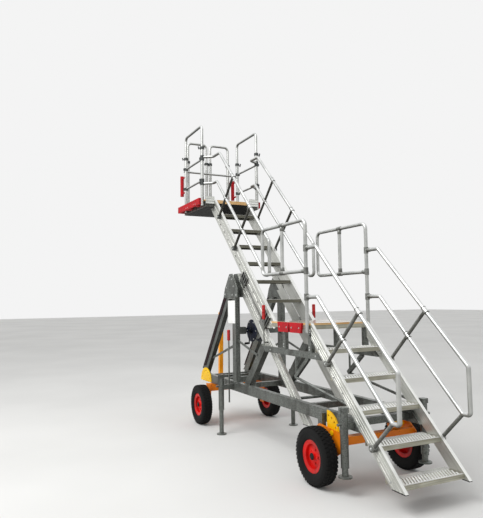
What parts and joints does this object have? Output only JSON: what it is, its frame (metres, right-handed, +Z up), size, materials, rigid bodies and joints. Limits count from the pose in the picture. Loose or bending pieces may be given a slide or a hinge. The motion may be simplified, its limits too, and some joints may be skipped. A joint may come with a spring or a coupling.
{
  "type": "variable height access platform",
  "caption": "Towable access platform: fixed lower stair and landing on a steered four-wheel chassis, with an upper stair and railed platform that slides up inclined guide rails.",
  "frame": {"origin": "on the ground, below the middle of the outline", "axes": "+X towards the foot of the stairs, +Y towards the far side, +Z up"},
  "size_m": [4.774, 1.1856, 4.209],
  "materials": {
    "galvanised_steel": "dull galvanised, weathered",
    "aluminium": "mill finish, extruded",
    "tube_aluminium": "bright drawn tube",
    "orange_paint": "gloss orange, worn",
    "yellow_paint": "gloss yellow, worn",
    "red_rubber": "matte red",
    "dark_rubber": "matte dark maroon",
    "tyre_rubber": "matte black",
    "red_rim": "gloss red",
    "winch_paint": "gloss dark blue",
    "plywood_deck": "dark film-faced plywood with raw edges",
    "cast_clamp": "dark cast clamps",
    "red_grip": "satin red"
  },
  "bodies": {
    "chassis": {"sills": "galvanised_steel", "cross_members": "galvanised_steel", "frame_posts": "galvanised_steel", "frame_legs": "galvanised_steel", "leg_strips": "dark_rubber", "apex_plates": "galvanised_steel", "guide_rails": "aluminium", "guide_struts": "galvanised_steel", "landing_deck": "aluminium", "landing_board": "plywood_deck", "landing_supports": "galvanised_steel", "landing_fenders": "red_rubber", "lower_stringers": "aluminium", "lower_treads": "aluminium", "lower_handrails": "tube_aluminium", "stair_clamps": "cast_clamp", "guide_heads": "cast_clamp", "rear_axle": "orange_paint", "quadrant_plates": "yellow_paint", "jack_sleeves": "galvanised_steel", "winch": "winch_paint", "hand_levers": "galvanised_steel", "hand_grips": "red_grip", "head_pads": "dark_rubber"},
    "front_axle_set": {"front_axle": "orange_paint", "drawbar_carrier": "orange_paint"},
    "drawbar_arm": {"drawbar": "orange_paint"},
    "upper_flight": {"upper_stringers": "aluminium", "upper_treads": "aluminium", "upper_handrails": "tube_aluminium", "platform_frame": "galvanised_steel", "platform_board": "plywood_deck", "platform_clamps": "cast_clamp", "platform_posts": "tube_aluminium", "platform_side_rails": "tube_aluminium", "platform_fender": "red_rubber", "slide_blocks": "galvanised_steel", "slide_pads": "dark_rubber"},
    "front_wheel_near": {"front_tyre_near": "tyre_rubber", "front_rim_near": "red_rim"},
    "front_wheel_far": {"front_tyre_far": "tyre_rubber", "front_rim_far": "red_rim"},
    "rear_wheel_near": {"rear_tyre_near": "tyre_rubber", "rear_rim_near": "red_rim"},
    "rear_wheel_far": {"rear_tyre_far": "tyre_rubber", "rear_rim_far": "red_rim"},
    "front_jack_near": {"front_jack_leg_near": "galvanised_steel"},
    "front_jack_far": {"front_jack_leg_far": "galvanised_steel"},
    "rear_jack_near": {"rear_jack_leg_near": "galvanised_steel"},
    "rear_jack_far": {"rear_jack_leg_far": "galvanised_steel"},
    "side_guard_near": {"side_hoop_near": "tube_aluminium"},
    "side_guard_far": {"side_hoop_far": "tube_aluminium"},
    "front_guard_near": {"front_hoop_near": "tube_aluminium"},
    "front_guard_far": {"front_hoop_far": "tube_aluminium"}
  },
  "joints": [
    {"name": "front_axle_steering", "type": "hinge", "parent": "chassis", "child": "front_axle_set", "pos_m": [-1.365, 0, 0.5], "axis": [0, 0, 1], "range_deg": [-30, 30]},
    {"name": "drawbar_fold", "type": "hinge", "parent": "front_axle_set", "child": "drawbar_arm", "pos_m": [-1.9, 0, 0.54], "axis": [0, -1, 0], "range_deg": [0, 97]},
    {"name": "upper_flight_slide", "type": "slide", "parent": "chassis", "child": "upper_flight", "axis": [-0.7071, 0, 0.7071], "range_m": [-0.679, 0.339]},
    {"name": "front_wheel_near_spin", "type": "hinge", "parent": "front_axle_set", "child": "front_wheel_near", "pos_m": [-1.365, -0.5225, 0.26], "axis": [0, 1, 0], "continuous": true},
    {"name": "front_wheel_far_spin", "type": "hinge", "parent": "front_axle_set", "child": "front_wheel_far", "pos_m": [-1.365, 0.5225, 0.26], "axis": [0, 1, 0], "continuous": true},
    {"name": "rear_wheel_near_spin", "type": "hinge", "parent": "chassis", "child": "rear_wheel_near", "pos_m": [1.435, -0.5225, 0.26], "axis": [0, 1, 0], "continuous": true},
    {"name": "rear_wheel_far_spin", "type": "hinge", "parent": "chassis", "child": "rear_wheel_far", "pos_m": [1.435, 0.5225, 0.26], "axis": [0, 1, 0], "continuous": true},
    {"name": "front_jack_near_slide", "type": "slide", "parent": "chassis", "child": "front_jack_near", "axis": [0, 0, 1], "range_m": [-0.06, 0.2]},
    {"name": "front_jack_far_slide", "type": "slide", "parent": "chassis", "child": "front_jack_far", "axis": [0, 0, 1], "range_m": [-0.06, 0.2]},
    {"name": "rear_jack_near_slide", "type": "slide", "parent": "chassis", "child": "rear_jack_near", "axis": [0, 0, 1], "range_m": [-0.21, 0.05]},
    {"name": "rear_jack_far_slide", "type": "slide", "parent": "chassis", "child": "rear_jack_far", "axis": [0, 0, 1], "range_m": [-0.21, 0.05]},
    {"name": "side_hoop_slide_near", "type": "slide", "parent": "upper_flight", "child": "side_guard_near", "axis": [0, 0, 1], "range_m": [-0.25, 0]},
    {"name": "side_hoop_slide_far", "type": "slide", "parent": "upper_flight", "child": "side_guard_far", "axis": [0, 0, 1], "range_m": [-0.25, 0]},
    {"name": "front_hoop_slide_near", "type": "slide", "parent": "upper_flight", "child": "front_guard_near", "axis": [0, 0, 1], "range_m": [-0.23, 0]},
    {"name": "front_hoop_slide_far", "type": "slide", "parent": "upper_flight", "child": "front_guard_far", "axis": [0, 0, 1], "range_m": [-0.23, 0]}
  ]
}
